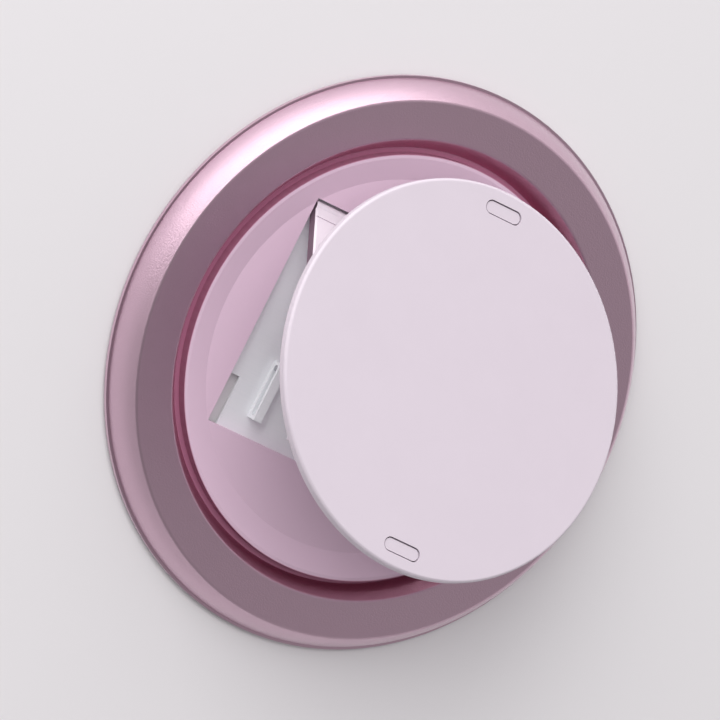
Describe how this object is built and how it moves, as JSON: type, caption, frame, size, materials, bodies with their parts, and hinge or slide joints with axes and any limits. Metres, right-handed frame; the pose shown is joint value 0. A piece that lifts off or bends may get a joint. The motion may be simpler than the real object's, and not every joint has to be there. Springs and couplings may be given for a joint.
{
  "type": "folding phone grip",
  "caption": "Round magnetic phone grip: a bevelled ring with a turntable, whose crossed arms lift a tilted finger disc and fold flat into the dish.",
  "frame": {"origin": "centre of the rubber pad's face that lies on the phone", "axes": "+Z out of the phone towards the finger disc, X along the hinge axes, +Y towards the wide arm's hinge"},
  "size_m": [0.056, 0.056, 0.0211],
  "materials": {
    "ring_metal": "bead-blasted and anodised lilac pink",
    "dish_paint": "satin lilac paint",
    "arm_paint": "satin pale lilac paint",
    "disc_plastic": "matte pale lilac",
    "sheet_steel": "rolled, bare",
    "pin_steel": "drawn and polished",
    "plated_magnet": "nickel plated",
    "slip_plastic": "natural",
    "pad_rubber": "matte"
  },
  "bodies": {
    "base": {"base_ring": "ring_metal", "back_cover": "sheet_steel", "grip_pad": "pad_rubber", "magnet_array": "plated_magnet", "shunt_ring": "sheet_steel", "friction_washer": "slip_plastic"},
    "turntable": {"swivel_plate": "dish_paint", "floor_plate": "sheet_steel", "floor_screws": "pin_steel", "base_hinge_pin": "pin_steel"},
    "wide_arm": {"outer_arm": "arm_paint", "pivot_pins": "pin_steel", "slide_pin": "pin_steel"},
    "narrow_arm": {"inner_arm": "arm_paint", "foot_pin": "pin_steel"},
    "disc": {"disc_carrier": "disc_plastic", "disc_cap": "disc_plastic", "disc_hinge_pin": "pin_steel"}
  },
  "joints": [
    {"name": "swivel", "type": "hinge", "parent": "base", "child": "turntable", "pos_m": [0, 0, 0.0011], "axis": [0, 0, 1], "continuous": true},
    {"name": "arm_fold", "type": "hinge", "parent": "turntable", "child": "wide_arm", "pos_m": [0, 0.011, 0.0013], "axis": [-1, 0, 0], "range_deg": [-40, 0]},
    {"name": "arm_cross", "type": "hinge", "parent": "wide_arm", "child": "narrow_arm", "pos_m": [0, 0.00334, 0.00773], "axis": [1, 0, 0], "range_deg": [-80.5, 0]},
    {"name": "disc_tilt", "type": "hinge", "parent": "narrow_arm", "child": "disc", "pos_m": [0, 0.00717, 0.01094], "axis": [-1, 0, 0], "range_deg": [-59, 0]}
  ],
  "couplings": [
    {"joint": "arm_cross", "follows": "arm_fold", "ratio": 2},
    {"joint": "disc_tilt", "follows": "arm_fold", "ratio": 1.4612}
  ]
}
